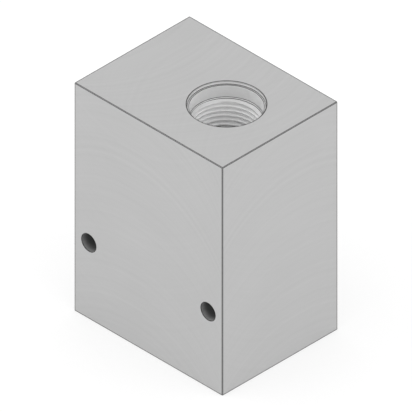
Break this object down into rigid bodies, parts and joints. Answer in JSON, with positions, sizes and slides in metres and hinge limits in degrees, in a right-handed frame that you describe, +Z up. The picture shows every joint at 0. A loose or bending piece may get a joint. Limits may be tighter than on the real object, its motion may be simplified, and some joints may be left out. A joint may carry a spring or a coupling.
{
  "type": "hydraulic manifold block",
  "caption": "Rectangular aluminium manifold block with a threaded cartridge valve cavity, O-ring ports and plain mounting holes.",
  "frame": {"origin": "middle of the bottom face", "axes": "+X along the block's length, from the side port's end to the end next to the cavity; +Y across its width, out of the face that sits against what it is bolted to; +Z up, out of the cartridge cavity"},
  "size_m": [0.0572, 0.0444, 0.0762],
  "materials": {
    "machined_aluminium": "milled faces and bored holes, bare, edges broken"
  },
  "bodies": {
    "root": {"manifold_block": "machined_aluminium"}
  },
  "joints": []
}
